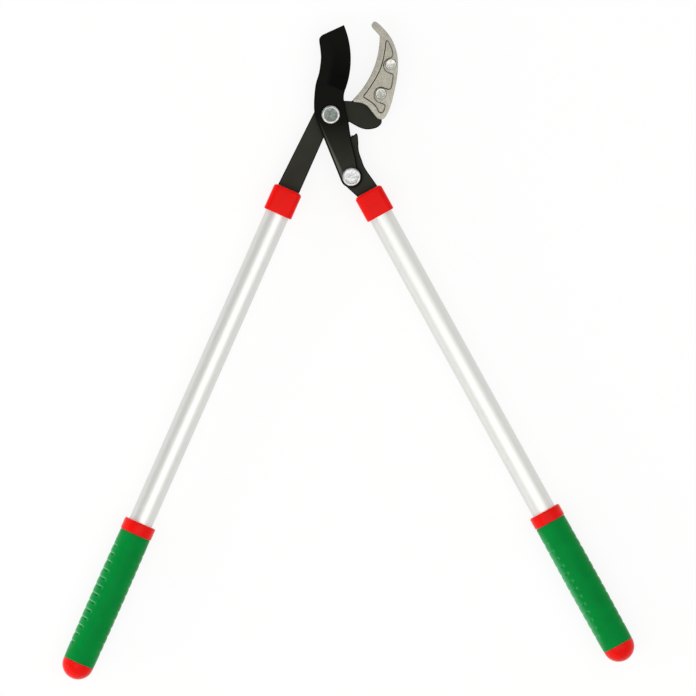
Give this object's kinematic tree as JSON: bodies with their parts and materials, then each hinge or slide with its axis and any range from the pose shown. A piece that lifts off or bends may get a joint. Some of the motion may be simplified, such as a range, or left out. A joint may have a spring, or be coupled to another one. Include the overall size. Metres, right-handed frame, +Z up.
{
  "type": "anvil lopper",
  "caption": "Long-handled anvil lopper with a curved blade closing on a crescent anvil, a geared lever, round tube handles and ribbed grips.",
  "frame": {"origin": "on the main pivot's axis, at the level of the surface that the lopper lies on", "axes": "+X to the right, +Y from the grips to the jaws, +Z up, out of the surface; the blade is on the upper side"},
  "size_m": [0.5892, 0.6777, 0.034],
  "materials": {
    "plate_steel": "satin black coating",
    "blade_steel": "black non-stick coating",
    "cast_aluminium": "cast, matt",
    "tube_aluminium": "satin anodised",
    "red_plastic": "moulded, semi-gloss",
    "green_grip": "soft moulded, satin",
    "bolt_steel": "zinc plated",
    "nut_steel": "zinc plated",
    "rivet_steel": "plain, turned",
    "slip_bronze": "plain",
    "plug_plastic": "moulded"
  },
  "bodies": {
    "hook_side": {"hook_arm": "plate_steel", "anvil": "cast_aluminium", "anvil_rivets": "rivet_steel", "pivot_bolt": "bolt_steel", "pivot_slip_washer": "slip_bronze", "pivot_washer": "nut_steel", "pivot_nut": "nut_steel", "left_collar": "red_plastic", "left_tang_plug": "plug_plastic", "left_tang_rivet": "rivet_steel", "left_tube": "tube_aluminium", "left_grip_core": "red_plastic", "left_grip_cover": "green_grip"},
    "blade": {"blade": "blade_steel"},
    "lever_side": {"lever_arm": "plate_steel", "link_bolt": "bolt_steel", "link_slip_washer": "slip_bronze", "link_washer": "nut_steel", "link_nut": "nut_steel", "right_collar": "red_plastic", "right_tang_plug": "plug_plastic", "right_tang_rivet": "rivet_steel", "right_tube": "tube_aluminium", "right_grip_core": "red_plastic", "right_grip_cover": "green_grip"}
  },
  "joints": [
    {"name": "blade_pivot", "type": "hinge", "parent": "hook_side", "child": "blade", "pos_m": [0, 0, 0.023], "axis": [0, 0, -1], "range_deg": [-10, 24]},
    {"name": "lever_pivot", "type": "hinge", "parent": "blade", "child": "lever_side", "pos_m": [0.02131, -0.06405, 0.023], "axis": [0, 0, -1], "range_deg": [-5.9, 14.2]}
  ],
  "couplings": [
    {"joint": "lever_pivot", "follows": "blade_pivot", "ratio": 0.58823}
  ]
}
